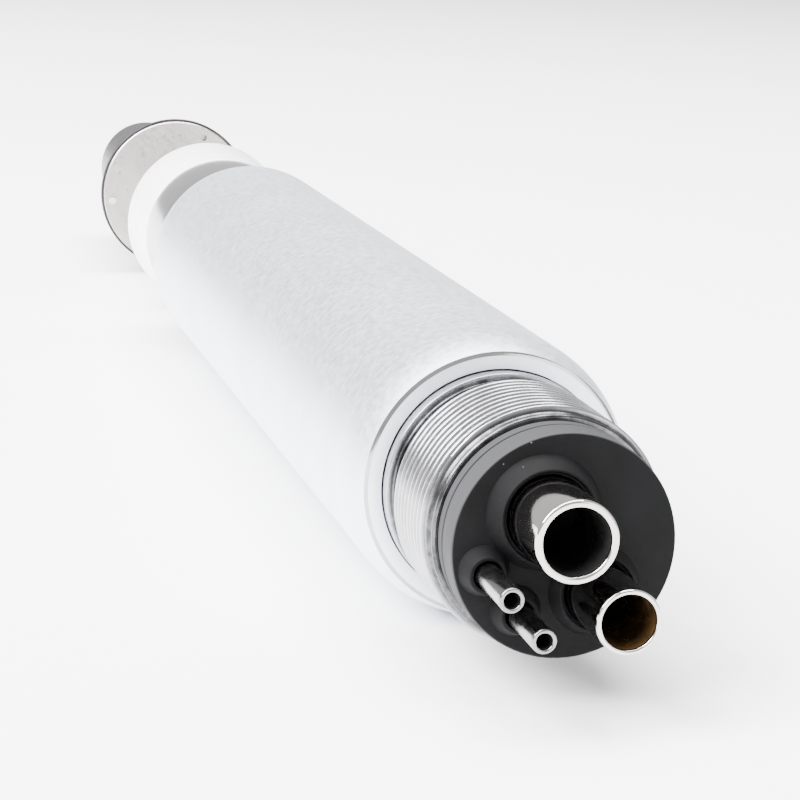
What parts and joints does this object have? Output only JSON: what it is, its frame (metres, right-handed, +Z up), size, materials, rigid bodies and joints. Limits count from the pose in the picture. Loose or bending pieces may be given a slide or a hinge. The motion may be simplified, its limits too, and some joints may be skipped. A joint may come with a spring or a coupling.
{
  "type": "high speed handpiece",
  "caption": "In-line air turbine dental handpiece with a threaded four-tube hose connector, a satin barrel, a turning chuck ring and a dark nose.",
  "frame": {"origin": "centre of the threaded collar's rear rim, on the handpiece's axis", "axes": "+X along the axis towards the nose, +Z up through the exhaust tube's side, +Y towards the thin tubes"},
  "size_m": [0.1539, 0.015, 0.015],
  "materials": {
    "satin": "fine bead-blasted satin",
    "steel": "polished",
    "inner_steel": "ground",
    "rubber": "moulded",
    "brass": "machined",
    "white": "smooth white",
    "dark": "dark anodised",
    "hose": "extruded",
    "bronze": "sintered, porous",
    "cage": "phenolic"
  },
  "bodies": {
    "handle": {"hose_gasket": "rubber", "exhaust_tube": "steel", "drive_air_tube": "steel", "water_tube": "inner_steel", "chip_air_tube": "inner_steel", "connector_block": "brass", "threaded_collar": "steel", "collar_o_ring": "rubber", "barrel_shell": "satin", "exhaust_muffler": "bronze", "drive_line": "hose", "water_line": "hose", "chip_air_line": "hose", "air_manifold": "brass", "front_sleeve": "steel", "neck_housing": "inner_steel", "retaining_clip": "inner_steel", "stop_pin": "inner_steel", "release_spring": "inner_steel", "flange_disc": "steel", "index_pin": "inner_steel", "nose_cone": "dark", "bearing_retainer": "inner_steel", "spray_ring": "brass", "nose_cap": "steel", "rear_outer_race": "inner_steel", "front_outer_race": "inner_steel", "rear_bearing_o_ring": "rubber", "front_bearing_o_ring": "rubber", "preload_washer": "inner_steel"},
    "rotor": {"spindle": "inner_steel", "impeller": "brass", "collet": "inner_steel", "drawbar": "inner_steel", "rear_inner_race": "inner_steel", "front_inner_race": "inner_steel"},
    "rear_ball_set": {"rear_balls": "inner_steel", "rear_cage": "cage"},
    "front_ball_set": {"front_balls": "inner_steel", "front_cage": "cage"},
    "ring": {"chuck_ring": "white"},
    "plunger": {"release_plunger": "inner_steel", "cross_pin": "inner_steel"}
  },
  "joints": [
    {"name": "turbine_spin", "type": "hinge", "parent": "handle", "child": "rotor", "pos_m": [0.127, 0, 0], "axis": [1, 0, 0], "continuous": true},
    {"name": "rear_cage_spin", "type": "hinge", "parent": "handle", "child": "rear_ball_set", "pos_m": [0.127, 0, 0], "axis": [1, 0, 0], "continuous": true},
    {"name": "front_cage_spin", "type": "hinge", "parent": "handle", "child": "front_ball_set", "pos_m": [0.1357, 0, 0], "axis": [1, 0, 0], "continuous": true},
    {"name": "chuck_ring_turn", "type": "hinge", "parent": "handle", "child": "ring", "pos_m": [0.099, 0, 0], "axis": [1, 0, 0], "range_deg": [0, 45]},
    {"name": "plunger_slide", "type": "slide", "parent": "handle", "child": "plunger", "axis": [1, 0, 0], "range_m": [0, 0.001], "deforming": ["release_spring"]}
  ],
  "couplings": [
    {"joint": "rear_cage_spin", "follows": "turbine_spin", "ratio": 0.395},
    {"joint": "front_cage_spin", "follows": "turbine_spin", "ratio": 0.395},
    {"joint": "chuck_ring_turn", "follows": "plunger_slide", "rad_per_m": 785.4}
  ]
}
